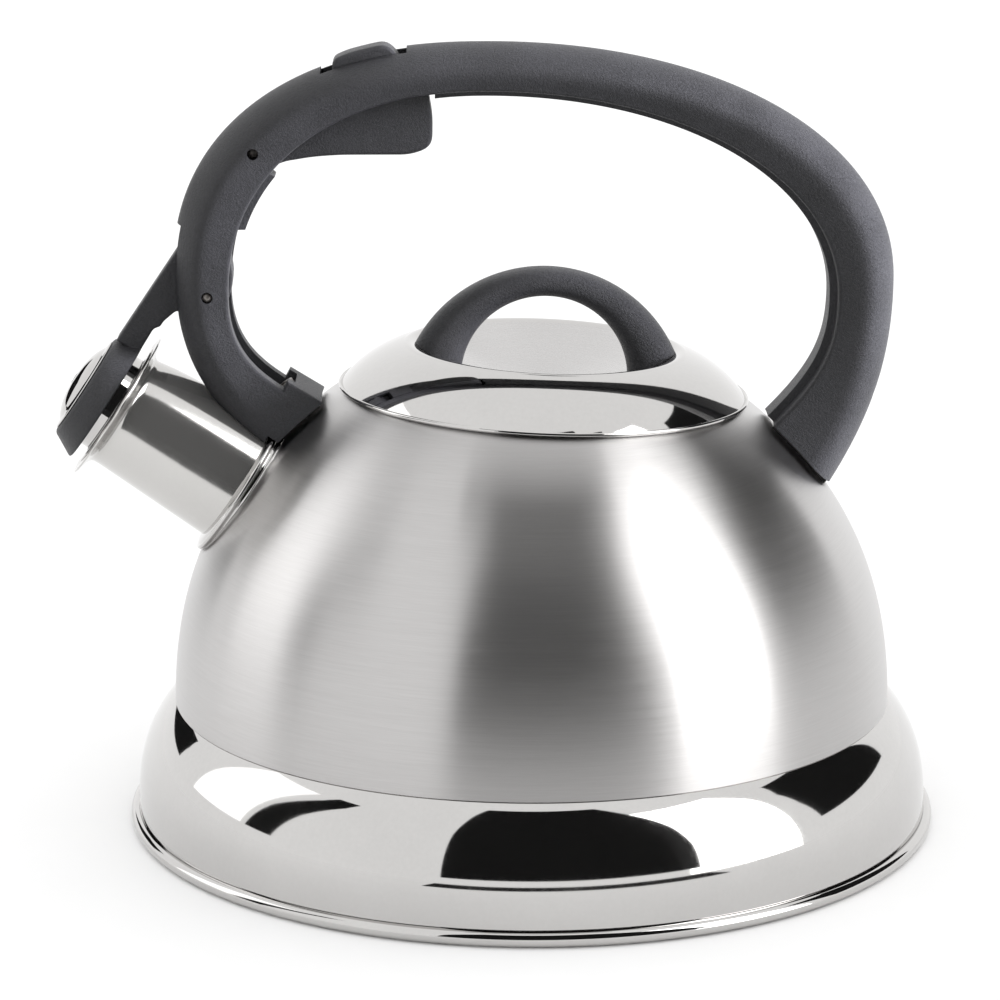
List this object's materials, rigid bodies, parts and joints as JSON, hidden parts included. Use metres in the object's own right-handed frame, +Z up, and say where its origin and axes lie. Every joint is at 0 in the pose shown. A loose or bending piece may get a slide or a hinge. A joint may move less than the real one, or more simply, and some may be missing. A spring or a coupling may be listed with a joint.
{
  "type": "stovetop whistling kettle",
  "caption": "Stovetop whistling kettle with a domed steel body, arched grip, squeeze trigger that lifts the whistle cap, and a lift-off lid with a looped knob.",
  "frame": {"origin": "centre of the flat underside the kettle rests on, on the axis of the body", "axes": "+Z up, -X along the spout, +X towards the rear foot of the handle; the handle lies in the XZ plane"},
  "size_m": [0.2271, 0.21, 0.202],
  "materials": {
    "brushed_body": "stainless steel with fine horizontal brushing",
    "polished_steel": "mirror-polished stainless steel",
    "charcoal_plastic": "fine-grained dark charcoal moulded plastic, satin",
    "plated_hardware": "plain plated steel hardware",
    "seal_rubber": "black rubber"
  },
  "bodies": {
    "kettle": {"dome_shell": "brushed_body", "base_flare": "polished_steel", "base_pan": "polished_steel", "spout_tube": "polished_steel", "spout_collar": "polished_steel", "handle": "charcoal_plastic", "front_bracket": "polished_steel", "rear_bracket": "polished_steel", "front_screw": "plated_hardware", "rear_screw": "plated_hardware", "trigger_pin": "plated_hardware", "lever_pin": "plated_hardware", "lever_spring": "plated_hardware"},
    "trigger": {"trigger": "charcoal_plastic"},
    "spout_lever": {"spout_lever": "charcoal_plastic", "cap_disc": "polished_steel", "whistle_cup": "polished_steel", "whistle_disc": "polished_steel"},
    "lid": {"lid_shell": "polished_steel", "lid_skirt": "polished_steel", "lid_knob": "charcoal_plastic", "knob_screws": "plated_hardware", "knob_washers": "seal_rubber"}
  },
  "joints": [
    {"name": "trigger_pivot", "type": "hinge", "parent": "kettle", "child": "trigger", "pos_m": [-0.0701, 0, 0.1751], "axis": [0, -1, 0], "range_deg": [0, 7], "stiffness_Nm_per_rad": 1.2, "springref_deg": -6.88},
    {"name": "lever_pivot", "type": "hinge", "parent": "kettle", "child": "spout_lever", "pos_m": [-0.0822, 0, 0.1387], "axis": [0, 1, 0], "range_deg": [0, 24.5]},
    {"name": "lid_lift", "type": "slide", "parent": "kettle", "child": "lid", "axis": [0, 0, 1], "range_m": [0, 0.026]}
  ],
  "couplings": [
    {"joint": "lever_pivot", "follows": "trigger_pivot", "ratio": 3.5}
  ]
}
